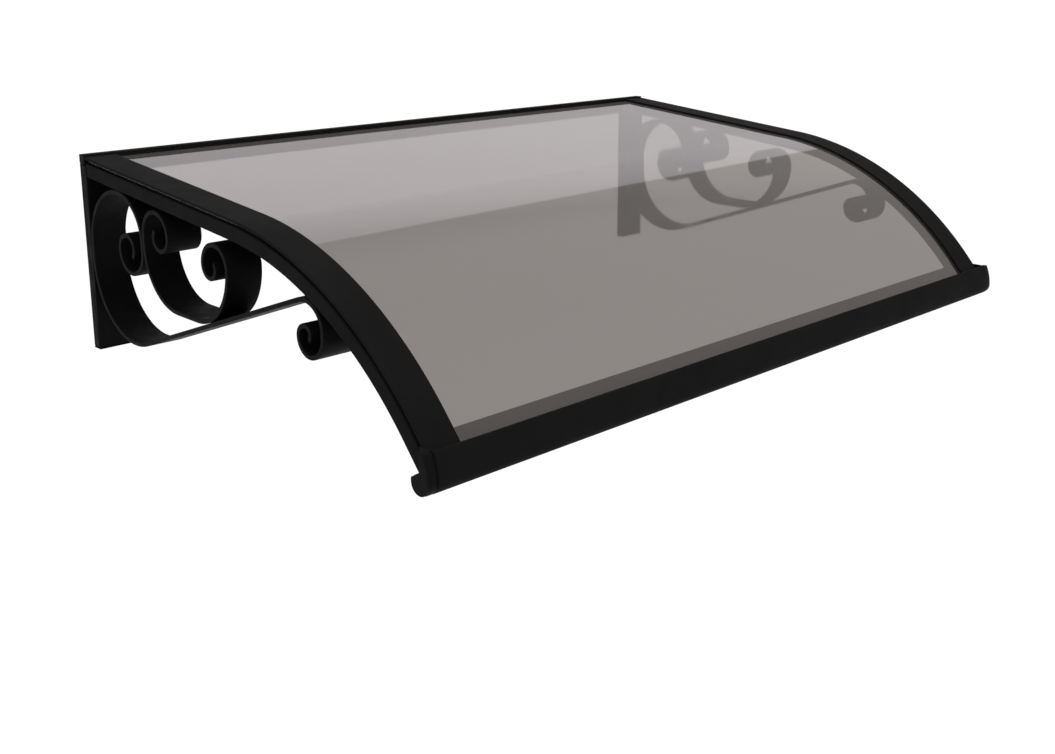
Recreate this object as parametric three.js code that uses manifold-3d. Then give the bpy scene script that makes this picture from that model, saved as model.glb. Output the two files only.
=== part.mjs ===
// Rigid door canopy: a curved clear sheet in a black frame on two scroll brackets.
// Millimetres, +Z up. X runs along the wall, the wall plane is Y = 0 and the canopy reaches out
// towards -Y. The origin is the centre of the wall rail's back face.
import * as THREE from 'three'
import { mergeVertices } from 'three/addons/utils/BufferGeometryUtils.js'
import Module from 'manifold-3d'

const wasm = await Module()
wasm.setup()

// Driving dimensions
const canopy_width = 1200        // over the outer faces of the two ribs
const fit_gap = 0.3              // between pieces that touch

const roof_slope = 5.15          // degrees below level, from the wall to the bend
const straight_run = 400         // along the rib's top face, from the wall plane to the bend
const bend_radius = 511          // of the rib's top face
const bend_angle = 44
const front_run = 22             // along the rib's top face, from the bend to the front rail
const rib_width = 44
const rib_height = 19
const tube_wall = 2              // of the ribs and the posts

const post_width = 54
const post_depth = 18
const post_length = 270
const post_plug_depth = 12
const post_plug_flange = 2.5

const bar_thickness = 6          // flat bar of the scrolls
const bar_width = 50

const gasket_thickness = 0.8
const gasket_width = 30
const sheet_thickness = 3
const sheet_inset = 5            // from the rib's outer face to the sheet's edge
const cap_thickness = 4
const cap_width = 48

const wall_rail_height = 34
const wall_rail_depth = 14
const wall_rail_wall = 2.5
const wall_ledge_depth = 14      // from the wall to the ledge's front edge
const wall_seal_height = 3.4
const wall_rail_end = 2          // thickness of its end pieces
const wall_rail_end_round = 1
const sheet_end_room = 1.5       // for the sheet to grow when it is warm

const nose_depth = 30            // of the front rail, out from its rear face
const nose_height = 49           // its underside is a half round
const nose_rise = 9              // from the rib's front top edge to the rail's top edge
const nose_lean = 8              // how far its front face leans back at the top
const nose_swell = 2             // how far that face bows out
const nose_round_top = 1.5       // rounding of its top edge
const lip_foot = 11              // from the rail's rear face to the foot of the lip over the sheet
const lip_thickness = 3
const lip_drop = 0.75            // the lip's rear corner lies lower than its front one
const lip_round = 1
const slot_depth = 18            // from the rail's rear face to the end of the sheet's slot
const flange_reach = 10          // of the flange under the sheet, back from the rear face
const flange_thickness = 2.5
const rail_wall = 3

const end_plate = 1.7            // of the front rail's end caps, over the rail's whole end
const end_block = 11             // how far their block stands out
const end_slim = 1               // how much less deep the block is than the rail, at the front
const end_drop = 1.5             // from the rail's top edge to the block's
const end_neck = 7.5             // depth of the block's upper part
const end_heel = 4.5             // from the half round's centre up to the block's heel
const end_heel_slope = 30        // degrees, of the heel's top, up to the upper part
const end_disc = 4               // the block's last, smaller step
const end_step = 0.5             // between the two
const end_round_front = 3        // of the end caps' top corners
const end_round_rear = 2
const end_spigot = 10            // into the rail's hollow

const screw_shank = 4
const screw_head = 8
const screw_head_height = 2.2
const screw_head_rim = 1.2       // height of the head's straight side
const screw_head_bevel = 1.2     // width of the slope above it
const screw_tip = 0.8            // bevel at the shank's end
const screw_bite = 2.6           // into the cap
const screw_first = 45           // along the rib, from the wall plane
const screw_pitch = 230
const screw_count = 4
const screw_room = 0.5           // round the shank in each hole

// Bend radii and straights of the big scroll, measured on the bar's centre line
const back_straight = 20         // rests against the post
const shoulder_radius = 83       // from the post up to the rib
const curl_radius = 62           // from the rib down to the rear eye
const curl_straight = 14
const rear_eye = [33, 31, 21, 19, 12]       // radii of its quarter turns, inwards
const belly_radius = 107
const run_rise = 19.8            // degrees above level, the long run to the front
const arch_radius = 34           // where the run turns over under the rib
const arch_drop = 7
const front_eye = [26, 22, 14, 10, 8]

// Bend radii and straights of the centre scroll
const centre_side_straight = 15  // beside the big scroll's curl
const centre_rear_eye = [33, 31, 20, 17, 10]
const centre_rear_radius = 80
const centre_floor = 50
const centre_front_radius = 78
const centre_front_eye = [29, 28, 17, 13, 9]
const tip_turn = 60              // the last bend of each eye

const bend_facets = 30           // along the bent part of the roof
const arc_step = 9               // degrees a facet turns on a bar's bend
const nose_facets = 14           // round the front rail's underside
const round_facets = 16          // round a screw or a hole
const corner_facets = 5
const cutter_margin = 1          // how far a cutter passes the face that it opens

// Colours and finishes
const black_paint = { color: 0x1f1d1e, roughness: 0.5, metalness: 0.25 }
const black_bar = { color: 0x1a1819, roughness: 0.55, metalness: 0.3 }
const black_rubber = { color: 0x0c0c0c, roughness: 0.8, metalness: 0.0 }
const black_plastic = { color: 0x1c1b1b, roughness: 0.5, metalness: 0.0 }
const smoke_sheet = {
  color: 0x6c6866, roughness: 0.08, metalness: 0.0, transparent: true, opacity: 0.55,
}
const zinc = { color: 0x5a5a5c, roughness: 0.4, metalness: 0.9 }

// Values that follow
const rad = THREE.MathUtils.degToRad
const half_width = canopy_width / 2
const slope = rad(roof_slope)
const rise = rad(run_rise)
const front_slope = rad(roof_slope + bend_angle)
const bend_end = straight_run + bend_radius * rad(bend_angle)
const rib_length = bend_end + front_run
const sheet_low = fit_gap + gasket_thickness + fit_gap
const sheet_high = sheet_low + sheet_thickness
const cap_low = sheet_high + fit_gap
const cap_high = cap_low + cap_thickness
const rail_top = wall_rail_height / 2
const seal_middle = (wall_rail_wall + wall_ledge_depth) / 2
const roof_drop = wall_rail_wall + fit_gap + wall_seal_height + fit_gap + sheet_high / Math.cos(slope)
const rib_top_at_wall = rail_top - roof_drop + Math.tan(slope) * seal_middle

// The roof line. Points are [reach, z], where reach is the distance out from the wall.
// s runs along the rib's top face and height is measured square to it, outwards.
function roof(s, height = 0) {
  if (s <= straight_run) {
    return [
      s * Math.cos(slope) + height * Math.sin(slope),
      rib_top_at_wall - s * Math.sin(slope) + height * Math.cos(slope),
    ]
  }
  const centre = [
    straight_run * Math.cos(slope) - bend_radius * Math.sin(slope),
    rib_top_at_wall - straight_run * Math.sin(slope) - bend_radius * Math.cos(slope),
  ]
  const past_bend = Math.max(0, s - bend_end)
  const heading = slope + (s - past_bend - straight_run) / bend_radius
  const out = bend_radius + height
  return [
    centre[0] + out * Math.sin(heading) + past_bend * Math.cos(heading),
    centre[1] + out * Math.cos(heading) - past_bend * Math.sin(heading),
  ]
}

// Points of the roof's rear and front straights, found by their reach
function roof_at(reach, height = 0) {
  return [reach, rib_top_at_wall - Math.tan(slope) * reach + height / Math.cos(slope)]
}

function front_at(reach, height = 0) {
  const [bend_reach, z] = roof(bend_end, height)
  return [reach, z - Math.tan(front_slope) * (reach - bend_reach)]
}

// Outline of a layer of the roof, cut upright at both ends
function layer(start_reach, end_reach, low, high) {
  const stops = Array.from(
    { length: bend_facets + 1 }, (_, k) => straight_run + (k / bend_facets) * (bend_end - straight_run),
  )
  return [
    roof_at(start_reach, high),
    ...stops.map((s) => roof(s, high)),
    front_at(end_reach, high),
    front_at(end_reach, low),
    ...stops.map((s) => roof(s, low)).reverse(),
    roof_at(start_reach, low),
  ]
}

// Geometry helpers

function closed(geometry) {
  const bare = geometry.clone()
  bare.deleteAttribute('normal')
  bare.deleteAttribute('uv')
  return mergeVertices(bare, 1e-4)
}

// Sweeps an outline of [reach, z] points along X
function along_x(outline, x_start, x_end) {
  const shape = new THREE.Shape(outline.map(([reach, z]) => new THREE.Vector2(-reach, z)))
  const geometry = new THREE.ExtrudeGeometry(shape, { depth: x_end - x_start, bevelEnabled: false, steps: 1 })
  const yz_to_x = new THREE.Matrix4().makeBasis(
    new THREE.Vector3(0, 1, 0), new THREE.Vector3(0, 0, 1), new THREE.Vector3(1, 0, 0),
  )
  geometry.applyMatrix4(yz_to_x)
  geometry.translate(x_start, 0, 0)
  return closed(geometry)
}

function box_outline(reach_0, reach_1, low, high) {
  return [[reach_0, low], [reach_1, low], [reach_1, high], [reach_0, high]]
}

function to_solid(geometry) {
  return new wasm.Manifold(new wasm.Mesh({
    numProp: 3,
    vertProperties: new Float32Array(geometry.attributes.position.array),
    triVerts: new Uint32Array(geometry.index.array),
  }))
}

function to_geometry(solid) {
  const mesh = solid.getMesh()
  const geometry = new THREE.BufferGeometry()
  geometry.setAttribute('position', new THREE.BufferAttribute(mesh.vertProperties, 3))
  geometry.setIndex(new THREE.BufferAttribute(mesh.triVerts, 1))
  return geometry
}

function cut(geometry, cutters) {
  let solid = to_solid(geometry)
  for (const cutter of cutters) solid = solid.subtract(to_solid(cutter))
  return to_geometry(solid)
}

function join(geometry, others) {
  let solid = to_solid(geometry)
  for (const other of others) solid = solid.add(to_solid(other))
  return to_geometry(solid)
}

// Rounds the corners of an outline whose points are [reach, z, radius]
function rounded(points) {
  const outline = []
  points.forEach(([x, z, radius = 0], i) => {
    const before = points[(i + points.length - 1) % points.length]
    const after = points[(i + 1) % points.length]
    if (radius === 0) {
      outline.push([x, z])
      return
    }
    const into = new THREE.Vector2(x - before[0], z - before[1])
    const out = new THREE.Vector2(after[0] - x, after[1] - z)
    const turn = Math.abs(Math.atan2(into.cross(out), into.dot(out)))
    const nearly_half = 0.48
    const room = nearly_half * Math.min(into.length(), out.length())
    const cut_back = Math.min(radius * Math.tan(turn / 2), room)
    const start = new THREE.Vector2(x, z).sub(into.setLength(cut_back))
    const end = new THREE.Vector2(x, z).add(out.setLength(cut_back))
    const bow = new THREE.QuadraticBezierCurve(start, new THREE.Vector2(x, z), end)
    bow.getPoints(corner_facets).forEach((p) => outline.push([p.x, p.y]))
  })
  return outline
}

const canopy = new THREE.Group()

function add(name, geometry, finish) {
  const mesh = new THREE.Mesh(geometry, new THREE.MeshStandardMaterial(finish))
  geometry.computeVertexNormals()
  mesh.name = name
  canopy.add(mesh)
}

// The canopy's two ends. span gives the X range of a piece at one end, from how far its outer and
// inner sides lie in from the rib's outer face.
const sides = [['left', -1], ['right', 1]]
function span(side, outer, inner) {
  const a = side * (half_width - outer)
  const b = side * (half_width - inner)
  return [Math.min(a, b), Math.max(a, b)]
}

// Screws that hold the cap, the sheet and the rib together
const screw_places = Array.from({ length: screw_count }, (_, k) => screw_first + k * screw_pitch)

// Turns a lathe shape, whose axis is Y, square to the roof at s
function square_to_roof(geometry, side, s, height) {
  const [reach, z] = roof(s, height)
  const [reach_out, z_out] = roof(s, height + 1)
  const axis = new THREE.Vector3(0, reach - reach_out, z_out - z).normalize()
  const turn = new THREE.Quaternion().setFromUnitVectors(new THREE.Vector3(0, 1, 0), axis)
  geometry.applyQuaternion(turn)
  geometry.translate(side * (half_width - rib_width / 2), -reach, z)
  return closed(geometry)
}

function hole(side, s, low, high, diameter) {
  const length = high - low
  const drill = new THREE.CylinderGeometry(diameter / 2, diameter / 2, length, round_facets)
  return square_to_roof(drill, side, s, (low + high) / 2)
}

function screw(side, s) {
  const under = -rib_height - fit_gap
  const reach_up = cap_low + screw_bite - under
  const r = screw_shank / 2
  const profile = [
    [0, reach_up], [r - screw_tip, reach_up], [r, reach_up - screw_tip], [r, 0],
    [screw_head / 2, 0], [screw_head / 2, -screw_head_rim],
    [screw_head / 2 - screw_head_bevel, -screw_head_height],
    [0, -screw_head_height],
  ].reverse()
  const turned = new THREE.LatheGeometry(profile.map(([x, y]) => new THREE.Vector2(x, y)), round_facets)
  return square_to_roof(turned, side, s, under)
}

// Arch ribs: bent rectangular tubes between the wall posts and the front rail's rear face
const rib_back = post_depth + fit_gap
const rib_front = roof(rib_length)[0]
function arch_rib(side) {
  const [x0, x1] = span(side, 0, rib_width)
  const tube = along_x(layer(rib_back, rib_front, -rib_height, 0), x0, x1)
  const [i0, i1] = span(side, tube_wall, rib_width - tube_wall)
  const core = along_x(
    layer(rib_back - tube_wall, rib_front + tube_wall, -rib_height + tube_wall, -tube_wall), i0, i1,
  )
  const drills = screw_places.map(
    (s) => hole(side, s, -rib_height - cutter_margin, cutter_margin, screw_shank + 2 * screw_room),
  )
  return cut(tube, [core, ...drills])
}

// Side gaskets, between the ribs and the sheet
function side_gasket(side) {
  const [x0, x1] = span(side, sheet_inset, sheet_inset + gasket_width)
  const strip = along_x(
    layer(rib_back, rib_front, fit_gap, fit_gap + gasket_thickness), x0, x1,
  )
  return cut(strip, screw_places.map((s) => hole(side, s, 0, sheet_low, screw_shank + 2 * screw_room)))
}

// Cap strips, over the edges of the sheet
const rail_back = rib_front + fit_gap
const cap_end = rail_back + lip_foot - fit_gap
function side_cap(side) {
  const [x0, x1] = span(side, 0, cap_width)
  const strip = along_x(layer(wall_rail_depth + fit_gap, cap_end, cap_low, cap_high), x0, x1)
  const bite = cap_low + screw_bite + fit_gap
  const drills = screw_places.map(
    (s) => hole(side, s, cap_low - cutter_margin, bite, screw_shank + 2 * screw_room),
  )
  return cut(strip, drills)
}

// The clear sheet
function canopy_sheet() {
  const edge = half_width - sheet_inset
  const start = wall_rail_wall + sheet_end_room
  const plate = along_x(
    layer(start, rail_back + slot_depth - sheet_end_room, sheet_low, sheet_high), -edge, edge,
  )
  const drills = sides.flatMap(([, side]) => screw_places.map(
    (s) => hole(side, s, sheet_low - cutter_margin, sheet_high + cutter_margin, screw_shank + 4 * screw_room),
  ))
  return cut(plate, drills)
}

// Wall rail: a flat flange on the wall, a roof with a lip above the sheet, a ledge under it
const ledge_top = roof_at(wall_ledge_depth, sheet_low)[1] - fit_gap
const ledge_bottom = ledge_top - wall_rail_wall
const rail_reach = half_width - wall_rail_end - fit_gap
const lip_back = wall_rail_depth - wall_rail_wall
function wall_rail_section() {
  return [
    [0, rail_top],
    [wall_rail_depth, rail_top],
    roof_at(wall_rail_depth, sheet_high + fit_gap),
    roof_at(lip_back, sheet_high + fit_gap),
    [lip_back, rail_top - wall_rail_wall],
    [wall_rail_wall, rail_top - wall_rail_wall],
    [wall_rail_wall, ledge_top],
    [wall_ledge_depth, ledge_top],
    [wall_ledge_depth, ledge_bottom],
    [wall_rail_wall, ledge_bottom],
    [wall_rail_wall, -rail_top],
    [0, -rail_top],
  ]
}

function wall_rail() {
  const bar = along_x(wall_rail_section(), -rail_reach, rail_reach)
  const notch = box_outline(
    -cutter_margin, wall_rail_wall + cutter_margin, -wall_rail_height, ledge_bottom - fit_gap / 2,
  )
  const notches = sides.map(([, side]) => along_x(notch, ...span(side, -cutter_margin, post_width + fit_gap)))
  return cut(bar, notches)
}

function wall_rail_end_piece(side) {
  const face = rounded([
    [0, rail_top],
    [wall_rail_depth, rail_top, wall_rail_end_round],
    roof_at(wall_rail_depth, fit_gap),
    roof_at(wall_ledge_depth, fit_gap),
    [wall_ledge_depth, ledge_bottom],
    [0, ledge_bottom],
  ])
  return along_x(face, ...span(side, 0, wall_rail_end))
}

function wall_seal() {
  const back = wall_rail_wall + sheet_end_room
  const front = lip_back - fit_gap
  const top = rail_top - wall_rail_wall - fit_gap
  const strip = [
    [back, top], [front, top],
    roof_at(front, sheet_high + fit_gap), roof_at(back, sheet_high + fit_gap),
  ]
  return along_x(strip, sheet_inset - half_width, half_width - sheet_inset)
}

// Front rail: a hollow nose with a flange under the sheet and a lip over it
const rail_front = rail_back + nose_depth
const rail_upper = front_at(rail_back)[1] + nose_rise
const rail_lower = rail_upper - nose_height
const slot_low = sheet_low - fit_gap
const slot_high = sheet_high + fit_gap
const flange_low = slot_low - flange_thickness

// The half round under a nose, from front to rear, inside the outside by an inset
function nose_round(front, inset) {
  const outer_radius = (front - rail_back) / 2
  const centre = [rail_back + outer_radius, rail_lower + outer_radius]
  const radius = outer_radius - inset
  return Array.from({ length: nose_facets + 1 }, (_, k) => {
    const turn = (Math.PI * k) / nose_facets
    return [centre[0] + radius * Math.cos(turn), centre[1] - radius * Math.sin(turn)]
  })
}

// A nose's outside, from its top edge down the front and round to the rear face
function nose_outline(front, top, top_round) {
  const under = nose_round(front, 0)
  return [
    [front - nose_lean, top, top_round],
    [front - nose_lean / 2 + nose_swell, (top + under[0][1]) / 2, nose_height],
    ...under,
  ]
}

function front_rail() {
  const slot_end = rail_back + slot_depth
  const outline = rounded([
    ...nose_outline(rail_front, rail_upper, nose_round_top),
    front_at(rail_back, flange_low),
    front_at(rail_back - flange_reach, flange_low),
    front_at(rail_back - flange_reach, slot_low),
    front_at(slot_end, slot_low),
    front_at(slot_end, slot_high),
    front_at(rail_back + lip_foot, slot_high),
    [rail_front - nose_lean - lip_thickness, rail_upper - lip_drop, lip_round],
  ])
  const bar = along_x(outline, -half_width, half_width)
  const rib_rooms = sides.map(([, side]) => along_x(
    box_outline(rail_back - 2 * flange_reach, rail_back, rail_lower, rail_upper + nose_height),
    ...span(side, -cutter_margin, rib_width + fit_gap),
  ))
  return cut(bar, [along_x(rail_hollow(0), -canopy_width, canopy_width), ...rib_rooms])
}

// The hollow through the front rail, drawn smaller by a clearance for what goes into it
function rail_hollow(clearance) {
  const margin = rail_wall + clearance
  const near = rail_back + margin
  const far = rail_front - margin
  const shoulder = rail_back + slot_depth
  const roof_height = flange_low - clearance
  return [
    front_at(near, roof_height),
    ...nose_round(rail_front, margin).reverse(),
    [far, front_at(shoulder, roof_height)[1]],
    front_at(shoulder, roof_height),
  ]
}

// Front rail end caps: a plate over the rail's end with a spigot in the hollow, and a stepped
// block that stands out from it, cut away at the rear above its heel
function rail_end_cap(side) {
  const plate_outline = rounded([
    [rail_back, rail_upper, end_round_rear],
    ...nose_outline(rail_front, rail_upper, end_round_front),
  ])
  const front = nose_outline(rail_front - end_slim, rail_upper - end_drop, end_round_front)
  const neck_back = front[0][0] - end_neck
  const heel_top = front[2][1] + end_heel
  const block_outline = rounded([
    [rail_back, heel_top, end_round_rear],
    [neck_back, heel_top + Math.tan(rad(end_heel_slope)) * (neck_back - rail_back)],
    [neck_back, rail_upper - end_drop, end_round_rear],
    ...front,
  ])
  const [disc_outline] = new wasm.CrossSection([block_outline], 'NonZero')
    .offset(-end_step, 'Miter')
    .toPolygons()
  const plate = along_x(plate_outline, ...span(side, -fit_gap - end_plate, -fit_gap))
  const block = along_x(block_outline, ...span(side, -end_block, -fit_gap - end_plate / 2))
  const disc = along_x(disc_outline, ...span(side, -end_block - end_disc, -end_block / 2))
  const spigot = along_x(rail_hollow(fit_gap), ...span(side, -fit_gap - end_plate / 2, end_spigot))
  return join(plate, [block, disc, spigot])
}

// Wall posts: upright rectangular tubes with a plug in the foot
const post_top = ledge_bottom - fit_gap
const post_foot = post_top - post_length
function wall_post(side) {
  const tube = along_x(box_outline(0, post_depth, post_foot, post_top), ...span(side, 0, post_width))
  const core = along_x(
    box_outline(
      tube_wall, post_depth - tube_wall, post_foot - cutter_margin, post_top + cutter_margin,
    ),
    ...span(side, tube_wall, post_width - tube_wall),
  )
  return cut(tube, [core])
}

function post_plug(side) {
  const flange = along_x(
    box_outline(0, post_depth, post_foot - fit_gap - post_plug_flange, post_foot - fit_gap),
    ...span(side, 0, post_width),
  )
  const inside = tube_wall + fit_gap
  const tongue = along_x(
    box_outline(inside, post_depth - inside, post_foot - post_plug_flange, post_foot + post_plug_depth),
    ...span(side, inside, post_width - inside),
  )
  return join(flange, [tongue])
}

// Scrolls. A bar's centre line starts at a point with a heading in degrees and follows steps of
// [radius, turn] or [length]; a positive turn goes from the wall's side towards the front and up.
function follow(start, heading, steps) {
  const points = [start]
  let [reach, z] = start
  let angle = rad(heading)
  for (const [size, turn] of steps) {
    if (turn === undefined) {
      reach += size * Math.cos(angle)
      z += size * Math.sin(angle)
      points.push([reach, z])
      continue
    }
    const hand = Math.sign(turn)
    const centre = [reach - hand * size * Math.sin(angle), z + hand * size * Math.cos(angle)]
    const facets = Math.max(3, Math.ceil(Math.abs(turn) / arc_step))
    for (let k = 1; k <= facets; k++) {
      const a = angle + (rad(turn) * k) / facets
      points.push([centre[0] + hand * size * Math.sin(a), centre[1] - hand * size * Math.cos(a)])
    }
    angle += rad(turn)
    reach = points[points.length - 1][0]
    z = points[points.length - 1][1]
  }
  return points
}

// Steps of an eye: quarter turns of ever smaller radius, and a shorter last bend
function eye(radii, hand) {
  return radii.map((radius, k) => [radius, hand * (k < radii.length - 1 ? 90 : tip_turn)])
}

// Thickens a centre line to a bar's outline
function bar_outline(line) {
  const side_of = (hand) => line.map(([reach, z], i) => {
    const before = line[Math.max(0, i - 1)]
    const after = line[Math.min(line.length - 1, i + 1)]
    const into = new THREE.Vector2(reach - before[0], z - before[1]).normalize()
    const out = new THREE.Vector2(after[0] - reach, after[1] - z).normalize()
    const mean = into.clone().add(out).normalize()
    const square = mean.dot(out.lengthSq() > 0 ? out : into)
    const offset = (hand * bar_thickness) / 2 / square
    return [reach - offset * mean.y, z + offset * mean.x]
  })
  return [...side_of(1), ...side_of(-1).reverse()]
}

// Where the big scroll lies: against the post and under the rib
const touch = bar_thickness / 2 + fit_gap
const back_line = post_depth + touch
const shoulder_reach = back_line + shoulder_radius
const shoulder_z = roof_at(shoulder_reach, -rib_height - touch - shoulder_radius)[1]
const belly_start = [back_line, shoulder_z - back_straight]
const run_normal = [Math.sin(rise), -Math.cos(rise)]
const run_start = [
  back_line + belly_radius + belly_radius * run_normal[0],
  belly_start[1] + belly_radius * run_normal[1],
]

// How far a point lies below the long run's centre line
function below_run([reach, z]) {
  return (reach - run_start[0]) * run_normal[0] + (z - run_start[1]) * run_normal[1]
}

// The arch's centre touches both the rib, from below, and the long run: found by halving
function arch_centre() {
  const depth = -rib_height - touch - arch_radius
  let low = 0
  let high = rib_length
  for (let k = 0; k < 50; k++) {
    const middle = (low + high) / 2
    if (below_run(roof(middle, depth)) < arch_radius) low = middle
    else high = middle
  }
  return roof(low, depth)
}

function big_scroll_line() {
  const centre = arch_centre()
  const run_length = (centre[0] - run_start[0]) * Math.cos(rise) + (centre[1] - run_start[1]) * Math.sin(rise)
  const up = follow([back_line, shoulder_z], 90, [
    [shoulder_radius, -90 - roof_slope],
    [curl_radius, roof_slope - 90],
    [curl_straight],
    ...eye(rear_eye, -1),
  ])
  const down = follow(belly_start, -90, [
    [belly_radius, 90 + run_rise],
    [run_length],
    [arch_radius, -90 - run_rise],
    [arch_drop],
    ...eye(front_eye, -1),
  ])
  return [...up.reverse(), ...down]
}

// Where the centre scroll lies: beside the big scroll's curl and on its long run
const curl_side = shoulder_reach + (shoulder_radius - curl_radius) * Math.sin(slope) + curl_radius
const centre_side = curl_side + bar_thickness + fit_gap
const centre_front_reach = centre_side + centre_rear_radius + centre_floor
const above_run = centre_front_radius + bar_thickness + fit_gap
const centre_front_z = run_start[1]
  + (above_run + Math.sin(rise) * (centre_front_reach - run_start[0])) / Math.cos(rise)
const centre_rear_z = centre_front_z - centre_front_radius + centre_rear_radius

function centre_scroll_line() {
  const up = follow([centre_side, centre_rear_z], 90, [
    [centre_side_straight],
    ...eye(centre_rear_eye, -1),
  ])
  const down = follow([centre_side, centre_rear_z], -90, [
    [centre_rear_radius, 90],
    [centre_floor],
    [centre_front_radius, 90],
    ...eye(centre_front_eye, 1),
  ])
  return [...up.reverse().slice(0, -1), ...down]
}

function scroll(line, side) {
  return along_x(bar_outline(line), ...span(side, 0, bar_width))
}

// The whole canopy
add('canopy_sheet', canopy_sheet(), smoke_sheet)
add('wall_rail', wall_rail(), black_paint)
add('wall_seal', wall_seal(), black_rubber)
add('front_rail', front_rail(), black_paint)
for (const [name, side] of sides) {
  add(`wall_post_${name}`, wall_post(side), black_bar)
  add(`post_plug_${name}`, post_plug(side), black_plastic)
  add(`arch_rib_${name}`, arch_rib(side), black_paint)
  add(`big_scroll_${name}`, scroll(big_scroll_line(), side), black_bar)
  add(`centre_scroll_${name}`, scroll(centre_scroll_line(), side), black_bar)
  add(`side_gasket_${name}`, side_gasket(side), black_rubber)
  add(`side_cap_${name}`, side_cap(side), black_paint)
  add(`wall_rail_end_${name}`, wall_rail_end_piece(side), black_plastic)
  add(`rail_end_cap_${name}`, rail_end_cap(side), black_plastic)
  screw_places.forEach((s, k) => add(`cap_screw_${name}_${k + 1}`, screw(side, s), zinc))
}

export default canopy
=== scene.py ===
"""Looks of a rigid door canopy: a bent clear sheet in a black frame on two scroll brackets.

Lengths are in millimetres up to the mesh, which is in metres. X runs along the wall, the wall plane
is Y = 0, Z is up, and reach is the distance out from the wall, which is -Y.
"""

import math

import bpy
import numpy as np
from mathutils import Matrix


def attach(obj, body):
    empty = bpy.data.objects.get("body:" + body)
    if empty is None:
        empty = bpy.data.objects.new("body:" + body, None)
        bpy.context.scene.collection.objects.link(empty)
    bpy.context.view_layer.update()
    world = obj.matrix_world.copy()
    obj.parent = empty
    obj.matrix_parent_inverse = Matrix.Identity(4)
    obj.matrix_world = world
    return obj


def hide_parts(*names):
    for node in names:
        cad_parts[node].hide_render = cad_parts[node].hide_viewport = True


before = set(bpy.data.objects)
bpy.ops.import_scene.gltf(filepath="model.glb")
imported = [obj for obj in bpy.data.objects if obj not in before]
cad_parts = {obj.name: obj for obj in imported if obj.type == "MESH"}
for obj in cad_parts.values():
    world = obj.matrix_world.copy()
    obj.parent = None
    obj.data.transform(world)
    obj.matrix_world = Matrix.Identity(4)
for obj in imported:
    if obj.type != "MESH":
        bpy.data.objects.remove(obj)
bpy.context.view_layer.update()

# Camera, at the photograph's viewing angle
camera_data = bpy.data.cameras.new("camera")
camera_data.sensor_width = 36
camera_data.sensor_fit = "HORIZONTAL"
camera_data.lens = 43.272
camera_data.shift_y = -0.1031
camera_data.clip_end = 200
camera = bpy.data.objects.new("camera", camera_data)
camera.location = (-1.3895, -1.7268, 0.2759)
camera.rotation_euler = (math.radians(76.62), 0, math.radians(-44.17))
bpy.context.scene.collection.objects.link(camera)
bpy.context.scene.camera = camera

# Sizes of the canopy: the roof line is straight, then an arc, then straight again
metres_per_mm = 0.001
half_width = 600
fit = 0.3  # between pieces that touch
overlap = 1  # of the parts that make up one piece
slope = math.radians(5.15)
straight_run, bend_radius, bend_angle, front_run = 400, 511, math.radians(44), 22
rib_width, rib_height = 44, 19
post_width, post_depth, post_length, plug_flange = 54, 18, 270, 2.5
gasket_thickness, gasket_width = 0.8, 30
sheet_thickness, sheet_inset, sheet_end_room = 3, 5, 1.5
strip_thickness, strip_width = 4, 48
wall_rail_height, wall_rail_depth, wall_rail_wall, wall_rail_end = 34, 14, 2.5, 2
seal_height = 3.4
nose_depth, nose_height, nose_rise, nose_lean, nose_pull = 30, 49, 9, 8, 3.5
lip_foot, lip_thickness, lip_drop, slot_depth = 11, 3, 0.75, 18
flange_reach, flange_thickness = 10, 2.5
end_plate, end_block, end_disc, end_step = 1.7, 11, 4, 0.5
end_slim, end_drop, end_neck, end_heel, end_heel_slope = 1, 1.5, 7.5, 4.5, math.radians(30)
screw_head, screw_head_height, screw_shank, screw_bite, screw_tip = 8, 2.2, 4, 2.6, 0.8
screw_first, screw_pitch, screw_count = 45, 230, 4

# Sizes of the scrolls: the flat bar, its bend radii and its straights along its centre line
bar_thickness, bar_width = 6, 50
shoulder, curl, belly, arch = 83, 62, 107, 34
rise = math.radians(19.8)  # of the long run to the front
back_straight, curl_straight, arch_drop = 20, 14, 7
rear_eye, front_eye = [33, 31, 21, 19, 12], [26, 22, 14, 10, 8]
centre_rear, centre_floor, centre_front = 80, 50, 78
centre_side_straight = 15
centre_rear_eye, centre_front_eye = [33, 31, 20, 17, 10], [29, 28, 17, 13, 9]
quarter_turn, tip_turn = 90, 60  # the bends of an eye, and its last one

bend_end = straight_run + bend_radius * bend_angle
front_slope = slope + bend_angle
sheet_low = 2 * fit + gasket_thickness
sheet_high = sheet_low + sheet_thickness
strip_low = sheet_high + fit
strip_high = strip_low + strip_thickness
rail_top = wall_rail_height / 2
roof_drop = wall_rail_wall + seal_height + 2 * fit + sheet_high / math.cos(slope)
rib_top = rail_top - roof_drop + math.tan(slope) * (wall_rail_wall + wall_rail_depth) / 2
sides = (("left", -1), ("right", 1))


# The roof line


def roof(s, height):
    """[reach, z] rows at s along the roof and height square to it.

    The line is straight at the slope, then an arc, then straight again:
    heading = slope + clip((s - straight_run) / bend_radius, 0, bend_angle).
    """
    s = np.atleast_1d(np.asarray(s, float))
    heading = slope + np.clip((s - straight_run) / bend_radius, 0, bend_angle)
    before = np.minimum(s, straight_run)
    past = np.maximum(s - bend_end, 0)
    reach = before * math.cos(slope) + bend_radius * (np.sin(heading) - math.sin(slope))
    drop = before * math.sin(slope) + bend_radius * (math.cos(slope) - np.cos(heading))
    reach = reach + past * np.cos(heading) + height * np.sin(heading)
    z = rib_top - drop - past * np.sin(heading) + height * np.cos(heading)
    return np.stack([reach, z], axis=1)


def rear_point(reach, height):
    """A point of the rear straight, by its reach."""
    return np.array([[reach, rib_top - math.tan(slope) * reach + height / math.cos(slope)]])


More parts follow.
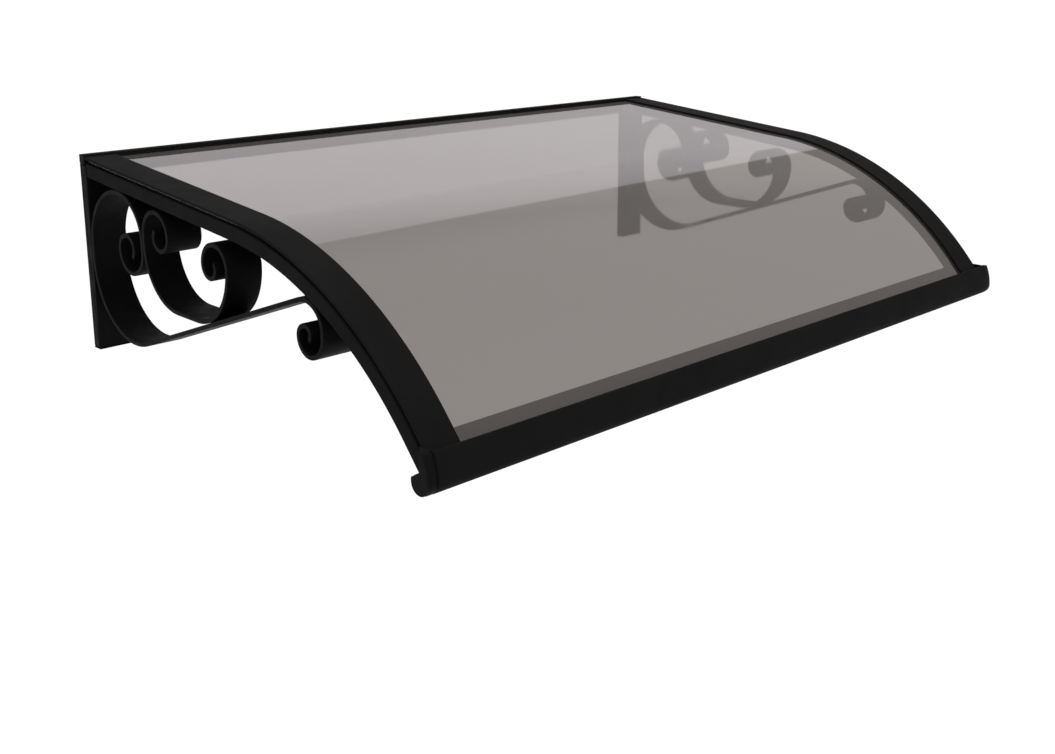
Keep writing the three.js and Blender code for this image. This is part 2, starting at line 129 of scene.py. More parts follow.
def front_point(reach, height):
    """A point of the front straight, by its reach."""
    end = roof(bend_end, height)[0]
    return np.array([[reach, end[1] - math.tan(front_slope) * (reach - end[0])]])


def layer(start, end, low, high, stops=150):
    """Outline of a layer of the roof, cut upright at both ends: out along its top, back below."""
    s = np.linspace(straight_run, bend_end, stops)
    upper = np.vstack([rear_point(start, high), roof(s, high), front_point(end, high)])
    lower = np.vstack([rear_point(start, low), roof(s, low), front_point(end, low)])
    return np.vstack([upper, lower[::-1]])


# Outlines and the shapes swept from them


def turns(outline):
    """Signed angle by which a closed outline turns at each of its points."""
    leave = np.roll(outline, -1, axis=0) - outline
    arrive = np.roll(leave, 1, axis=0)
    cross = arrive[:, 0] * leave[:, 1] - arrive[:, 1] * leave[:, 0]
    return np.arctan2(cross, np.sum(arrive * leave, axis=1))


def soften(outline, radius, flat=0.4, steps=4, sharp=0.45, share=0.42):
    """Rounds each corner of a closed outline that turns by more than sharp radians.

    The corner becomes an arc tangent to both edges, with one more point a little way along each
    edge, so that shading stays flat there. Tangent length = radius * tan(turn / 2), up to a share
    of the shorter edge.
    """
    turn = turns(outline)
    leave = np.roll(outline, -1, axis=0) - outline
    length = np.linalg.norm(leave, axis=1)
    parts = []
    last = 0
    for i in np.flatnonzero(np.abs(turn) > sharp):
        room = share * min(length[i - 1], length[i])
        half = math.tan(abs(turn[i]) / 2)
        back = min(radius * half, room)
        r = back / half
        into = leave[i - 1] / length[i - 1]
        side = math.copysign(1, turn[i]) * np.array([-into[1], into[0]])
        start = outline[i] - into * back
        angle = np.abs(turn[i]) * np.linspace(0, 1, steps + 1)[:, None]
        arc = start + r * (np.sin(angle) * into + (1 - np.cos(angle)) * side)
        rest = min(flat, 0.1 * room + 0.02)
        out = leave[i] / length[i]
        parts += [outline[last:i], [start - into * rest], arc, [arc[-1] + out * rest]]
        last = i + 1
    return np.vstack([p for p in [*parts, outline[last:]] if len(p)])


def moved_in(outline, distance):
    """The outline moved inwards.

    Each point moves along (n1 + n2) / (1 + n1.n2) of the normals of its two edges.
    """
    leave = np.roll(outline, -1, axis=0) - outline
    normal = np.stack([leave[:, 1], -leave[:, 0]], axis=1)
    normal /= np.linalg.norm(normal, axis=1)[:, None]
    before = np.roll(normal, 1, axis=0)
    return outline - distance * (normal + before) / (1 + np.sum(normal * before, axis=1))[:, None]


def along_x(outline, x_from, x_to, edge, flat=0.4, paired=False, steps=4):
    """Points and faces of an outline of [reach, z] rows swept along X, with rounded rims.

    Ring at angle a of a rim lies at x = end + edge * (1 - cos a), inset by edge * (1 - sin a).
    paired closes the ends with strips between the outline's two long sides, else with one face.
    """
    yz = np.stack([-outline[:, 0], outline[:, 1]], axis=1)
    y, z = yz.T
    if np.sum(y * np.roll(z, -1) - z * np.roll(y, -1)) < 0:
        yz = yz[::-1]
    count = len(yz)
    angle = np.linspace(0, math.pi / 2, steps + 1)
    along = np.concatenate([[0], edge * (1 - np.cos(angle)), [edge + flat]])
    inset = np.concatenate([[edge + flat], edge * (1 - np.sin(angle)), [0]])
    x = np.concatenate([x_from + along, x_to - along[::-1]])
    inset = np.concatenate([inset, inset[::-1]])
    step = moved_in(yz, 1.0) - yz
    rings = yz[None] + inset[:, None, None] * step[None]
    points = np.concatenate([np.broadcast_to(x[:, None, None], (len(x), count, 1)), rings], axis=2)
    near = np.arange(len(x) - 1)[:, None] * count
    i = np.arange(count)[None]
    j = (i + 1) % count
    quads = np.stack([near + i, near + j, near + count + j, near + count + i], axis=2)
    faces = quads.reshape(-1, 4).tolist()
    last = (len(x) - 1) * count
    if paired:
        k = np.arange(count // 2 - 1)
        strip = np.stack([k, k + 1, count - 2 - k, count - 1 - k], axis=1)
        faces += (strip[:, ::-1]).tolist() + (last + strip).tolist()
    else:
        faces += [list(range(count))[::-1], list(range(last, last + count))]
    return points.reshape(-1, 3), faces


def turned(profile, shares, around=48):
    """Points and faces of a profile of [radius, height] rows turned round Z, closed at both poles.

    shares holds, for each row, how far its circle is drawn in to a hexagon: the radius is scaled by
    cos(30) / cos(((angle + 30) mod 60) - 30), mixed with 1 by the share.
    """
    angle = np.linspace(0, 2 * math.pi, around, endpoint=False)
    sixth = math.pi / 3
    hexagon = math.cos(sixth / 2) / np.cos((angle + sixth / 2) % sixth - sixth / 2)
    scale = 1 + np.asarray(shares)[:, None] * (hexagon[None] / math.cos(sixth / 2) - 1)
    radius = np.asarray(profile)[:, 0][:, None] * scale
    z = np.broadcast_to(np.asarray(profile)[:, 1][:, None], radius.shape)
    points = np.stack([radius * np.cos(angle), radius * np.sin(angle), z], axis=2)
    rows = len(profile)
    near = np.arange(rows - 1)[:, None] * around
    i = np.arange(around)[None]
    j = (i + 1) % around
    quads = np.stack([near + i, near + j, near + around + j, near + around + i], axis=2)
    ends = [list(range(around))[::-1], list(range((rows - 1) * around, rows * around))]
    return points.reshape(-1, 3), quads.reshape(-1, 4).tolist() + ends


def together(*shapes):
    """Several shapes as one list of points and faces."""
    points, faces, first = [], [], 0
    for more_points, more_faces in shapes:
        points.append(more_points)
        faces += [[v + first for v in face] for face in more_faces]
        first += len(more_points)
    return np.vstack(points), faces


def piece(name, shape, finish, slot, *nodes):
    """Makes an object of a shape, which stands for the CAD nodes and rides on the part."""
    points, faces = shape
    mesh = bpy.data.meshes.new(name)
    mesh.from_pydata((np.asarray(points) * metres_per_mm).tolist(), [], faces)
    mesh.shade_smooth()
    mesh.materials.append(finish)
    made = bpy.data.objects.new(name, mesh)
    bpy.context.scene.collection.objects.link(made)
    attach(made, "root")
    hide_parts(*nodes)


def span(side, outer, inner):
    """X range of a piece at one end, from how far its sides lie in from the rib's outer face."""
    a, b = side * (half_width - outer), side * (half_width - inner)
    return min(a, b), max(a, b)


def box(reach_from, reach_to, low, high):
    """A rectangle's outline."""
    corners = [[reach_from, low], [reach_to, low], [reach_to, high], [reach_from, high]]
    return np.array(corners, float)


# Materials


def greater(nodes, links, first, second):
    """The greater of two values."""
    made = nodes.new("ShaderNodeMath")
    made.operation = "MAXIMUM"
    links.new(first, made.inputs[0])
    links.new(second, made.inputs[1])
    return made.outputs[0]


def mixed(nodes, links, share, first, second):
    """A shader that goes from the first to the second as the share goes from 0 to 1."""
    made = nodes.new("ShaderNodeMixShader")
    links.new(share, made.inputs["Fac"])
    links.new(first, made.inputs[1])
    links.new(second, made.inputs[2])
    return made.outputs["Shader"]


def plain_shader(nodes, kind, color, strength=None):
    """A shader of one colour, and of the given strength if it shines."""
    made = nodes.new(kind)
    made.inputs["Color"].default_value = color
    if strength is not None:
        made.inputs["Strength"].default_value = strength
    return made.outputs[0]


class Finish:
    """A material whose nodes are added one by one, with its main shader."""

    def __init__(self, name):
        self.material = bpy.data.materials.new(name)
        self.material.use_nodes = True
        self.nodes = self.material.node_tree.nodes
        self.links = self.material.node_tree.links
        self.shader = self.nodes["Principled BSDF"]
        self.output = self.nodes["Material Output"]
        self.place = self.nodes.new("ShaderNodeTexCoord").outputs["Object"]

    def noise(self, grains, detail=2.0, rough=0.5, stretch=None):
        """Noise of the given number of grains per metre."""
        made = self.nodes.new("ShaderNodeTexNoise")
        made.inputs["Scale"].default_value = grains
        made.inputs["Detail"].default_value = detail
        made.inputs["Roughness"].default_value = rough
        source = self.place
        if stretch is not None:
            mapping = self.nodes.new("ShaderNodeMapping")
            mapping.inputs["Scale"].default_value = stretch
            self.links.new(source, mapping.inputs["Vector"])
            source = mapping.outputs["Vector"]
        self.links.new(source, made.inputs["Vector"])
        return made.outputs["Fac"]

    def ranged(self, value, low, high, from_low=0.3, from_high=0.7):
        """A value moved from one range to another."""
        made = self.nodes.new("ShaderNodeMapRange")
        made.inputs["From Min"].default_value = from_low
        made.inputs["From Max"].default_value = from_high
        made.inputs["To Min"].default_value = low
        made.inputs["To Max"].default_value = high
        self.links.new(value, made.inputs["Value"])
        return made.outputs["Result"]

    def blend(self, value, first, second):
        """A mix of two colours by a value."""
        made = self.nodes.new("ShaderNodeMix")
        made.data_type = "RGBA"
        made.inputs["A"].default_value = first
        made.inputs["B"].default_value = second
        for socket in made.inputs:
            if socket.name == "Factor" and socket.type == "VALUE":
                self.links.new(value, socket)
                break
        return next(o for o in made.outputs if o.type == "RGBA")

    def bump(self, height, strength, distance, below=None):
        """Relief from a height, in metres at its full range."""
        made = self.nodes.new("ShaderNodeBump")
        made.inputs["Strength"].default_value = strength
        made.inputs["Distance"].default_value = distance
        self.links.new(height, made.inputs["Height"])
        if below is not None:
            self.links.new(below, made.inputs["Normal"])
        return made.outputs["Normal"]

    def set(self, **values):
        """Plain values of the main shader's sockets."""
        for name, value in values.items():
            self.shader.inputs[name.replace("_", " ")].default_value = value

    def feed(self, name, source):
        """Links one of the main shader's sockets."""
        self.links.new(source, self.shader.inputs[name])

    def clouded(self, first, second, grains, detail):
        """A base colour that drifts between two in soft patches."""
        patches = self.ranged(self.noise(grains, detail=detail), 0, 1)
        self.feed("Base Color", self.blend(patches, first, second))

    def roughened(self, low, high, grains, detail, rough=0.5):
        """A roughness that drifts between two in soft patches."""
        patches = self.noise(grains, detail=detail, rough=rough)
        self.feed("Roughness", self.ranged(patches, low, high))


def grey(value):
    """A linear grey."""
    return (value, value, value, 1.0)


def shade(value, warmth=0.0):
    """A grey of the given lightness in sRGB, a little warmer or cooler, as a linear colour."""
    channels = np.array([value + warmth, value, value - warmth * 0.3]) / 255
    linear = np.where(channels < 0.04045, channels / 12.92, ((channels + 0.055) / 1.055) ** 2.4)
    return (*linear.tolist(), 1.0)


def powder_coat():
    """Satin black powder coat: fine orange peel, with faint cloudiness in its gloss and tone."""
    f = Finish("satin_black_powder_coat")
    f.clouded(shade(22, 0.6), shade(26, 0.6), grains=9, detail=3)
    f.roughened(0.62, 0.72, grains=38, detail=4)
    peel = f.bump(f.noise(420, detail=2), strength=0.35, distance=0.00010)
    grain = f.noise(1500, detail=1)
    f.feed("Normal", f.bump(grain, strength=0.25, distance=0.00004, below=peel))
    f.set(Specular_IOR_Level=0.03)
    return f.material


def bar_paint():
    """Black paint on hot-rolled flat bar: a coarser skin under a softer gloss."""
    f = Finish("black_paint_on_flat_bar")
    f.clouded(shade(8, 0.6), shade(12, 0.6), grains=14, detail=4)
    f.roughened(0.52, 0.66, grains=55, detail=4)
    skin = f.bump(f.noise(150, detail=5, rough=0.6), strength=0.3, distance=0.00022)
    grain = f.noise(900, detail=2)
    f.feed("Normal", f.bump(grain, strength=0.25, distance=0.00005, below=skin))
    f.set(Specular_IOR_Level=0.06)
    return f.material


def rubber():
    """Matt black sealing rubber with fine lines along its length."""
    f = Finish("black_seal_rubber")
    f.clouded(shade(9), shade(14), grains=60, detail=3)
    f.roughened(0.72, 0.86, grains=200, detail=3)
    lines = f.noise(700, detail=2, stretch=(0.08, 1, 1))
    f.feed("Normal", f.bump(lines, strength=0.3, distance=0.0001))
    f.set(Specular_IOR_Level=0.2)
    return f.material


def moulded_plastic():
    """Black moulded plastic: a fine even spark-eroded grain."""
    f = Finish("moulded_black_plastic")
    f.clouded(shade(14, 0.5), shade(18, 0.5), grains=20, detail=3)
    f.roughened(0.5, 0.6, grains=90, detail=3)
    f.feed("Normal", f.bump(f.noise(2200, detail=2), strength=0.3, distance=0.00005))
    f.set(Specular_IOR_Level=0.05)
    return f.material


def zinc_plate():
    """Dull zinc plate: grey metal with faint crystal patches."""
    f = Finish("dull_zinc_plate")
    f.clouded(shade(150, -2), shade(176, -2), grains=500, detail=2)
    f.roughened(0.34, 0.48, grains=900, detail=2)
    f.set(Metallic=1.0)
    return f.material


def smoke_sheet():
    """Clear grey-tinted polycarbonate: a refracting shell whose tint is its colour.

    The tint is paler where the sheet is seen along its face: painted light that brightens what
    shows through there, not the sheet's own tint. Lamps shine through it with a tint of their own.
    Its faces are slightly wavy, as extruded sheet is, and carry a breath of dust.
    """
    tint, painted_light_tint = (0.238, 0.217, 0.207, 1.0), (0.72, 0.67, 0.64, 1.0)
    lamp_tint = (0.46, 0.445, 0.437, 1.0)
    f = Finish("smoke_polycarbonate")
    # painted light: the base colour turns paler as the sheet is seen more along its face
    facing = f.nodes.new("ShaderNodeLayerWeight").outputs["Facing"]
    along = f.ranged(facing, 0, 1, from_low=0.6, from_high=0.85)
    f.feed("Base Color", f.blend(along, tint, painted_light_tint))
    f.set(IOR=1.58, Transmission_Weight=0.89)
    f.roughened(0.012, 0.04, grains=26, detail=5, rough=0.6)
    waves = f.noise(7, detail=1, stretch=(0.25, 1, 1))
    f.feed("Normal", f.bump(waves, strength=0.12, distance=0.0004))
    lamp_light = plain_shader(f.nodes, "ShaderNodeBsdfTransparent", lamp_tint)
    path = f.nodes.new("ShaderNodeLightPath")
    surface = mixed(
        f.nodes, f.links, path.outputs["Is Shadow Ray"], f.shader.outputs["BSDF"], lamp_light
    )
    f.links.new(surface, f.output.inputs["Surface"])
    return f.material


coat, bar, seal = powder_coat(), bar_paint(), rubber()
plastic, zinc, smoke = moulded_plastic(), zinc_plate(), smoke_sheet()

# Roof: ribs, gaskets, sheet and edge strips
rib_back = post_depth + fit
rib_front = roof(bend_end + front_run, 0)[0][0]
rail_back = rib_front + fit
rail_front = rail_back + nose_depth

sheet_back = wall_rail_wall + sheet_end_room
sheet_front = rail_back + slot_depth - sheet_end_room
sheet_edge = half_width - sheet_inset
sheet_layer = layer(sheet_back, sheet_front, sheet_low, sheet_high)
clear_sheet = soften(sheet_layer, radius=0.35, flat=0.2)
piece(
    "clear_sheet", along_x(clear_sheet, -sheet_edge, sheet_edge, edge=0.35, flat=0.3, paired=True),
    smoke, "smoke_sheet", "canopy_sheet",
)

strip_back = wall_rail_depth + fit
strip_front = rail_back + lip_foot - fit
rib = soften(layer(rib_back, rib_front, -rib_height, 0), radius=0.8)
strip = soften(layer(strip_back, strip_front, strip_low, strip_high), radius=0.8)
gasket = layer(rib_back, rib_front, fit, fit + gasket_thickness)
for name, side in sides:
    rib_span = span(side, 0, rib_width)
    strip_span = span(side, 0, strip_width)
    gasket_span = span(side, sheet_inset, sheet_inset + gasket_width)
    piece(
        f"rib_{name}", along_x(rib, *rib_span, edge=1.4, flat=0.8, paired=True),
        coat, "black_paint", f"arch_rib_{name}",
    )
    piece(
        f"edge_strip_{name}", along_x(strip, *strip_span, edge=0.8, flat=0.7, paired=True),
        coat, "black_paint", f"side_cap_{name}",
    )
    piece(
        f"gasket_{name}", along_x(gasket, *gasket_span, edge=0.15, flat=0.1, paired=True),
        seal, "black_rubber", f"side_gasket_{name}",
    )

# Wall rail, its seal and its end pieces
ledge_top = rear_point(wall_rail_depth, sheet_low)[0][1] - fit
ledge_bottom = ledge_top - wall_rail_wall
rail_inside = wall_rail_depth - wall_rail_wall


def wall_rail():
    """The rail's channel over its whole length, and its lower flange between the posts."""
    over_sheet = sheet_high + fit
    channel = np.array([
        [0, rail_top],
        [wall_rail_depth, rail_top],
        rear_point(wall_rail_depth, over_sheet)[0],
        rear_point(rail_inside, over_sheet)[0],
        [rail_inside, rail_top - wall_rail_wall],
        [wall_rail_wall, rail_top - wall_rail_wall],
        [wall_rail_wall, ledge_top],
        [wall_rail_depth, ledge_top],
        [wall_rail_depth, ledge_bottom],
        [0, ledge_bottom],
    ])
    flange = box(0, wall_rail_wall, -rail_top, ledge_bottom + overlap)
    reach = half_width - wall_rail_end - fit
    flange_end = half_width - post_width - fit
    return together(
        along_x(soften(channel, radius=0.7), -reach, reach, edge=0.3),
        along_x(soften(flange, radius=0.5), -flange_end, flange_end, edge=0.5),
    )


piece("wall_rail_bar", wall_rail(), coat, "black_paint", "wall_rail")

seal_front = rail_inside - fit
seal_outline = np.array([
    [sheet_back, rail_top - wall_rail_wall - fit],
    [seal_front, rail_top - wall_rail_wall - fit],
    rear_point(seal_front, sheet_high + fit)[0],
    rear_point(sheet_back, sheet_high + fit)[0],
])
piece(
    "wall_seal_strip",
    along_x(soften(seal_outline, radius=0.5), -sheet_edge, sheet_edge, edge=0.4),
    seal, "black_rubber", "wall_seal",
)
end_outline = soften(np.array([
    [0, rail_top],
    [wall_rail_depth, rail_top],
    rear_point(wall_rail_depth, fit)[0],
    [wall_rail_depth, ledge_bottom],
    [0, ledge_bottom],
]), radius=1.0)
for name, side in sides:
    piece(
        f"wall_rail_cover_{name}", along_x(end_outline, *span(side, 0, wall_rail_end), edge=0.6),
        plastic, "black_plastic", f"wall_rail_end_{name}",
    )

# Front rail and its end caps
rail_upper = front_point(rail_back, 0)[0][1] + nose_rise
rail_lower = rail_upper - nose_height
slot_low, slot_high = sheet_low - fit, sheet_high + fit
flange_low = slot_low - flange_thickness


def nose(front, top_height, face_stops=20, round_stops=48):
    """A nose from its top front edge: a bowed front face, and a half round under it.

    The front face is a quadratic curve between the top edge and the half round, with its middle
    point pulled out; the half round is centre + radius * (cos, -sin) of an angle from 0 to 180
    degrees.
    """
    radius = (front - rail_back) / 2
    top = np.array([front - nose_lean, top_height])
    low = np.array([front, rail_lower + radius])
    pull = (top + low) / 2 + np.array([nose_pull, 0])
    t = np.linspace(0, 1, face_stops)[:, None]
    face = (1 - t) ** 2 * top + 2 * t * (1 - t) * pull + t ** 2 * low
    turn = np.linspace(0, math.pi, round_stops)
    middle = np.array([rail_back + radius, rail_lower + radius])
    under = middle + radius * np.stack([np.cos(turn), -np.sin(turn)], axis=1)
    return np.vstack([face, under[1:]])


def front_rail():
    """The nose with its lip over the sheet, full length, and the flange between the ribs."""
    slot_end = rail_back + slot_depth
    bar_outline = np.vstack([
        nose(rail_front, rail_upper),
        front_point(rail_back, slot_low),
        front_point(slot_end, slot_low),
        front_point(slot_end, slot_high),
        front_point(rail_back + lip_foot, slot_high),
        [[rail_front - nose_lean - lip_thickness, rail_upper - lip_drop]],
    ])
    flange = np.vstack([
        front_point(rail_back + overlap, flange_low),
        front_point(rail_back - flange_reach, flange_low),
        front_point(rail_back - flange_reach, slot_low),
        front_point(rail_back + overlap, slot_low),
    ])
    flange_end = half_width - rib_width - fit
    return together(
        along_x(soften(bar_outline, radius=0.9), -half_width, half_width, edge=0.4),
        along_x(soften(flange, radius=0.6), -flange_end, flange_end, edge=0.6),
    )


piece("front_rail_bar", front_rail(), coat, "black_paint", "front_rail")


def end_cap(side):
    """A plate over the rail's end, and a stepped block that stands out from it.

    The block is a slimmer nose, cut away at the rear above its heel, whose top rises to the neck.
    """
    plate = np.vstack([[[rail_back, rail_upper]], nose(rail_front, rail_upper)])
    plate = soften(plate, radius=2.6, steps=7)
    front = nose(rail_front - end_slim, rail_upper - end_drop)
    neck_back = front[0][0] - end_neck
    heel_top = rail_lower + (nose_depth - end_slim) / 2 + end_heel
    block = np.vstack([
        [[rail_back, heel_top]],
        [[neck_back, heel_top + math.tan(end_heel_slope) * (neck_back - rail_back)]],
        [[neck_back, rail_upper - end_drop]],
        front,
    ])[::-1]
    block = soften(block, radius=2.4, steps=7)
    disc = moved_in(block, end_step)
    return together(
        along_x(plate, *span(side, -fit - end_plate, -fit), edge=0.4),
        along_x(block, *span(side, -end_block, overlap / 2 - fit - end_plate), edge=0.5),
        along_x(disc, *span(side, -end_block - end_disc, overlap - end_block), edge=0.6),
    )


for name, side in sides:
    piece(f"rail_cap_{name}", end_cap(side), plastic, "black_plastic", f"rail_end_cap_{name}")

# Wall posts and their plugs
post_top = ledge_bottom - fit
post_foot = post_top - post_length
plug_top = post_foot - fit
post = soften(box(0, post_depth, post_foot, post_top), radius=0.6)
plug = soften(box(0, post_depth, plug_top - plug_flange, plug_top), radius=0.8)
for name, side in sides:
    piece(
        f"post_{name}", along_x(post, *span(side, 0, post_width), edge=1.4, flat=0.8),
        bar, "black_bar", f"wall_post_{name}",
    )
    piece(
        f"plug_{name}", along_x(plug, *span(side, 0, post_width), edge=1.0),
        plastic, "black_plastic", f"post_plug_{name}",
    )

# Scroll brackets


def follow(start, heading, steps, fewest=6, degrees_each=2.5):
    """A bar's centre line from a point and a heading in degrees, and its heading at each point.

    A bend of [radius, turn] is centre + hand * radius * (sin, -cos) of the heading, and [length]
    is straight on. A positive turn goes from the wall's side to the front and up.
    """
    points, headings = [np.array([start], float)], [np.array([math.radians(heading)])]
    for size, *turn in steps:
        here, angle = points[-1][-1], headings[-1][-1]
        if not turn:
            points.append([here + size * np.array([math.cos(angle), math.sin(angle)])])
            headings.append(np.array([angle]))
            continue
        hand = math.copysign(1, turn[0])
        count = max(fewest, math.ceil(abs(turn[0]) / degrees_each))
        a = angle + math.radians(turn[0]) * np.arange(1, count + 1) / count
        centre = here + hand * size * np.array([-math.sin(angle), math.cos(angle)])
        points.append(centre + hand * size * np.stack([np.sin(a), -np.cos(a)], axis=1))
        headings.append(a)
    return np.vstack(points), np.concatenate(headings)


def eye(radii, hand):
    """Quarter turns of ever smaller radius, and a shorter last bend."""
    return [(r, hand * quarter_turn) for r in radii[:-1]] + [(radii[-1], hand * tip_turn)]


def bar_sides(up, down):
    """Outline of a bar whose line runs back along up and on along down."""
    points = np.vstack([up[0][::-1], down[0]])
    heading = np.concatenate([up[1][::-1] + math.pi, down[1]])
    keep = np.concatenate([[True], np.linalg.norm(np.diff(points, axis=0), axis=1) > 1e-6])
    points, heading = points[keep], heading[keep]
    square = bar_thickness / 2 * np.stack([-np.sin(heading), np.cos(heading)], axis=1)
    outline = np.vstack([points + square, (points - square)[::-1]])
    return soften(outline, radius=1.0, flat=0.2)


touch = bar_thickness / 2 + fit
back_line = post_depth + touch
shoulder_reach = back_line + shoulder
shoulder_z = rear_point(shoulder_reach, -rib_height - touch - shoulder)[0][1]
belly_start = np.array([back_line, shoulder_z - back_straight])
run = np.array([math.cos(rise), math.sin(rise)])
run_normal = np.array([math.sin(rise), -math.cos(rise)])
run_start = np.array([back_line + belly, belly_start[1]]) + belly * run_normal


def arch_middle(stops=40001):
    """The centre of the arch, which touches the rib from below, and the long run.

    It is the point of a fine line under the rib whose distance from the run is the arch's radius.
    """
    s = np.linspace(straight_run, bend_end + front_run, stops)
    line = roof(s, -rib_height - touch - arch)
    return line[np.argmin(np.abs((line - run_start) @ run_normal - arch))]


slope_deg, rise_deg = math.degrees(slope), math.degrees(rise)
run_length = (arch_middle() - run_start) @ run
big_scroll = bar_sides(
    follow([back_line, shoulder_z], 90, [
        (shoulder, -90 - slope_deg), (curl, slope_deg - 90), (curl_straight,), *eye(rear_eye, -1),
    ]),
    follow(belly_start, -90, [
        (belly, 90 + rise_deg), (run_length,), (arch, -90 - rise_deg), (arch_drop,),
        *eye(front_eye, -1),
    ]),
)

curl_side = shoulder_reach + (shoulder - curl) * math.sin(slope) + curl
centre_side = curl_side + bar_thickness + fit
centre_front_reach = centre_side + centre_rear + centre_floor
centre_front_z = run_start[1] + (
    centre_front + bar_thickness + fit + math.sin(rise) * (centre_front_reach - run_start[0])
) / math.cos(rise)
centre_rear_start = [centre_side, centre_front_z - centre_front + centre_rear]
centre_scroll = bar_sides(
    follow(centre_rear_start, 90, [(centre_side_straight,), *eye(centre_rear_eye, -1)]),
    follow(centre_rear_start, -90, [
        (centre_rear, 90), (centre_floor,), (centre_front, 90), *eye(centre_front_eye, 1),
    ]),
)
for name, side in sides:
    for scroll_name, outline in (("big_scroll", big_scroll), ("centre_scroll", centre_scroll)):
        piece(
            f"{scroll_name}_bar_{name}",
            along_x(outline, *span(side, 0, bar_width), edge=0.8, paired=True),
            bar, "black_bar", f"{scroll_name}_{name}",
        )

# Screws under the ribs


def screw_shape(side, s):
    """A pan-head screw with a hexagon socket, turned round its axis and set square to the roof.

    Heights run from the head's seat up the shank, so the head lies below 0. The outside goes from
    the tip down the shank, over the seat's and the head's bevels, to the socket's edge.
    """
    low = -rib_height - fit
    length = strip_low + screw_bite - low
    pole, shank, rim = 0.05, screw_shank / 2, screw_head / 2
    top, middle = -screw_head_height, -screw_head_height / 2
    outside = [
        [pole, length], [shank - screw_tip, length], [shank, length - screw_tip], [shank, 0],
        [rim - 0.2, 0], [rim, -0.2], [rim, middle], [rim - 0.3, middle - 0.6], [rim - 1.1, top],
        [2, top],
    ]
    socket = [[1.5, top], [1.4, top + 0.1], [1.35, -0.6], [pole, -0.5]]
    shares = [0] * len(outside) + [1] * len(socket)
    points, faces = turned((outside + socket)[::-1], shares[::-1])
    heading = slope + min(max((s - straight_run) / bend_radius, 0), bend_angle)
    foot = roof(s, low)[0]
    x, across, up = points.T
    reach = foot[0] + up * math.sin(heading) + across * math.cos(heading)
    z = foot[1] + up * math.cos(heading) - across * math.sin(heading)
    rib_middle = side * (half_width - rib_width / 2)
    return np.stack([rib_middle + x, -reach, z], axis=1), [face[::-1] for face in faces]


for name, side in sides:
    for k in range(screw_count):
        piece(
            f"screw_{name}_{k + 1}", screw_shape(side, screw_first + k * screw_pitch),
            zinc, "zinc", f"cap_screw_{name}_{k + 1}",
        )

# Floor, at the height of a doorstep below such a canopy
floor_mesh = bpy.data.meshes.new("floor")
far, floor_z = 60.0, -2.2
floor_mesh.from_pydata(
    [(-far, -far, floor_z), (far, -far, floor_z), (far, far, floor_z), (-far, far, floor_z)],
    [], [(0, 1, 2, 3)],
)
floor = bpy.data.objects.new("floor", floor_mesh)
bpy.context.scene.collection.objects.link(floor)


def seen_directly(nodes, links):
    """1 for rays from the camera, from gloss or through the sheet, else 0, and 1 for gloss only."""
    path = nodes.new("ShaderNodeLightPath").outputs
    glossy = path["Is Glossy Ray"]
    either = greater(nodes, links, path["Is Camera Ray"], glossy)
    return greater(nodes, links, either, path["Is Transmission Ray"]), glossy


def floor_finish():
    """Pale matt floor: it looks white, keeps the object's shadow, and lights as pale paint does."""
    material = bpy.data.materials.new("pale_floor")
    material.use_nodes = True
    nodes, links = material.node_tree.nodes, material.node_tree.links
    nodes.clear()
    seen, _ = seen_directly(nodes, links)
    plain = plain_shader(nodes, "ShaderNodeBsdfDiffuse", grey(0.8))
    shadowed = plain_shader(nodes, "ShaderNodeBsdfDiffuse", grey(0.3))
    glow = plain_shader(nodes, "ShaderNodeEmission", grey(1.0), strength=0.85)
    white = nodes.new("ShaderNodeAddShader")
    links.new(shadowed, white.inputs[0])
    links.new(glow, white.inputs[1])
    output = nodes.new("ShaderNodeOutputMaterial")
    surface = mixed(nodes, links, seen, plain, white.outputs[0])
    links.new(surface, output.inputs["Surface"])
    return material


floor_mesh.materials.append(floor_finish())


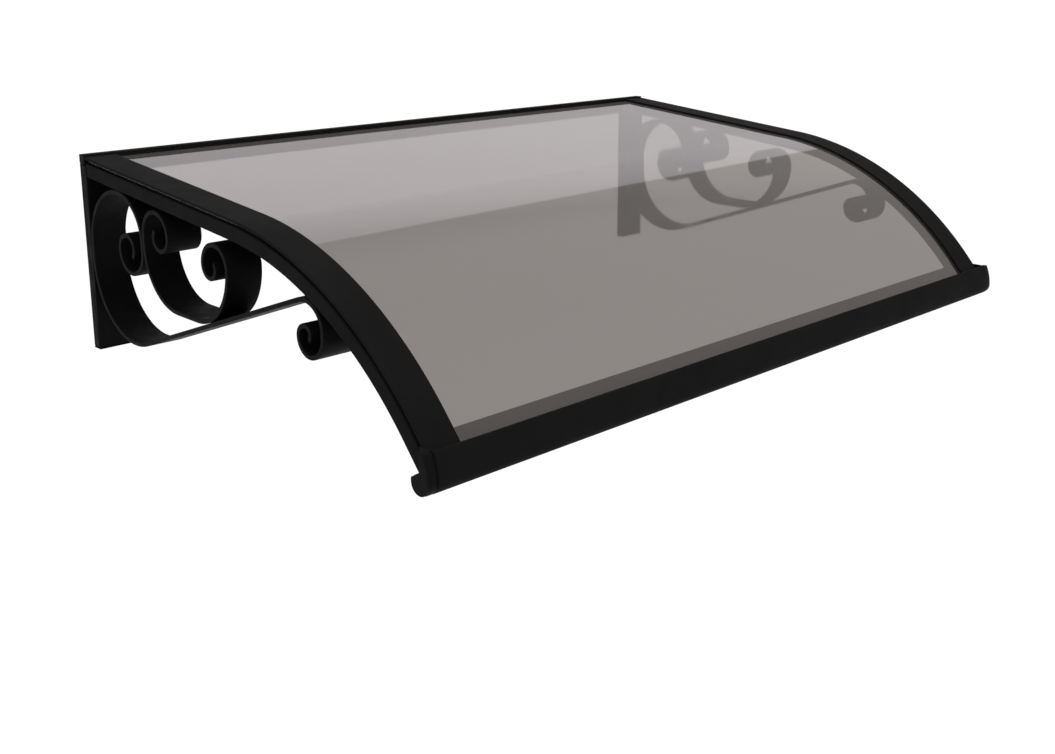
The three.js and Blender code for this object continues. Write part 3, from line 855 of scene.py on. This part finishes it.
def studio():
    """A pale room, whose diffuse light is plain and even.

    Gloss shows its rear wall up to a straight top edge, brightest there, and a ceiling above it,
    darkest next to that edge, paler away from it and dim again at the far side. The tones run over
    t = dot(direction, below_edge) / 2 + 1 / 2, and the edge is at t = 0.5.
    """
    world = bpy.data.worlds.new("studio")
    bpy.context.scene.world = world
    world.use_nodes = True
    nodes, links = world.node_tree.nodes, world.node_tree.links
    nodes.clear()
    seen, glossy = seen_directly(nodes, links)
    below_edge = (-0.101, 0.780, -0.618)
    direction = nodes.new("ShaderNodeTexCoord").outputs["Generated"]
    dot = nodes.new("ShaderNodeVectorMath")
    dot.operation = "DOT_PRODUCT"
    dot.inputs[1].default_value = below_edge
    links.new(direction, dot.inputs[0])
    half = nodes.new("ShaderNodeMath")
    half.operation = "MULTIPLY_ADD"
    half.inputs[1].default_value = 0.5
    half.inputs[2].default_value = 0.5
    links.new(dot.outputs["Value"], half.inputs[0])
    ramp = nodes.new("ShaderNodeValToRGB")
    ramp.color_ramp.interpolation = "LINEAR"
    links.new(half.outputs[0], ramp.inputs["Fac"])
    ceiling, wall = np.array([1, 0.96, 0.93]), np.array([0.98, 0.95, 0.98])
    tones = [
        (0.0, 0.5 * ceiling), (0.1, 0.93 * ceiling), (0.2, 0.79 * ceiling),
        (0.38, 0.65 * ceiling), (0.498, 0.4 * ceiling), (0.502, 0.98 * wall),
        (0.54, 0.9 * wall), (0.61, 0.71 * wall), (0.67, 0.68 * wall), (1.0, 0.68 * wall),
    ]
    elements = ramp.color_ramp.elements
    elements[0].position, elements[1].position = tones[0][0], tones[-1][0]
    for position, _ in tones[1:-1]:
        elements.new(position)
    for element, (_, tone) in zip(elements, tones, strict=True):
        element.color = (*tone.tolist(), 1)
    room = nodes.new("ShaderNodeBackground")
    links.new(ramp.outputs["Color"], room.inputs["Color"])
    white = plain_shader(nodes, "ShaderNodeBackground", grey(1.0))
    light = plain_shader(nodes, "ShaderNodeBackground", grey(1.0), strength=0.55)
    shown = mixed(nodes, links, glossy, white, room.outputs[0])
    output = nodes.new("ShaderNodeOutputWorld")
    links.new(mixed(nodes, links, seen, light, shown), output.inputs["Surface"])


studio()


def soft_lamp(name, place, aim, size, power):
    """A square soft box at a place, turned to a point. Gloss doesn't mirror it."""
    data = bpy.data.lights.new(name, "AREA")
    data.shape = "SQUARE"
    data.size = size
    data.energy = power
    lamp = bpy.data.objects.new(name, data)
    lamp.visible_glossy = False
    lamp.location = place
    back = np.array(place, float) - np.array(aim, float)
    across = math.hypot(back[0], back[1])
    lamp.rotation_euler = (math.atan2(across, back[2]), 0, math.atan2(back[0], -back[1]))
    bpy.context.scene.collection.objects.link(lamp)


canopy_middle = (0, -0.4, -0.1)
soft_lamp("key", (-2.6, -3.0, 3.4), canopy_middle, size=2.4, power=70)
soft_lamp("top", (0.6, -0.2, 3.6), canopy_middle, size=2.4, power=45)

bpy.context.scene.view_settings.view_transform = "Standard"
